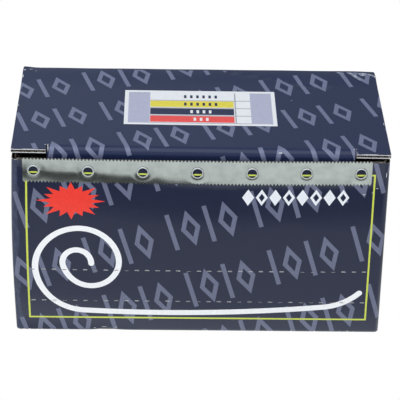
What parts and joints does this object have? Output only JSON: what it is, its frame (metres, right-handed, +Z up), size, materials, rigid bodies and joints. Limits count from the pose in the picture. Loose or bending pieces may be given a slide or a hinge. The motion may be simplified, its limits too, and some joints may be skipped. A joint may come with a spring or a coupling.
{
  "type": "boxed aluminium foil roll with cutter carton",
  "caption": "Corrugated board carton with a hinged tuck lid and a toothed steel cutter strip on its front edge, holding a roll of aluminium foil on a card core.",
  "frame": {"origin": "middle of the base's underside, where the carton rests", "axes": "+X along the roll and the cutter strip, +Z up through the lid, the front wall with the strip faces -Y"},
  "size_m": [0.1302, 0.0667, 0.0731],
  "materials": {
    "board": "dark blue print under gloss varnish",
    "steel": "bright rolled strip",
    "foil": "bright foil",
    "core": "plain wound card",
    "pattern_ink": "print",
    "yellow_line": "print",
    "white_ink": "print",
    "red_ink": "print",
    "lilac_ink": "print",
    "yellow_ink": "print"
  },
  "bodies": {
    "carton": {"carton": "board", "cutter_strip": "steel", "foil_roll": "foil", "core_tube": "core", "frame_print": "yellow_line", "swirl_print": "white_ink", "burst_print": "red_ink", "diamond_print": "white_ink", "pattern_print": "pattern_ink"},
    "lid": {"lid": "board", "lid_pattern_print": "pattern_ink", "label_white_print": "white_ink", "label_lilac_print": "lilac_ink", "label_red_print": "red_ink", "label_yellow_print": "yellow_ink"}
  },
  "joints": [
    {"name": "lid_hinge", "type": "hinge", "parent": "carton", "child": "lid", "pos_m": [0, 0.033, 0.073], "axis": [-1, 0, 0], "range_deg": [0, 250]}
  ]
}
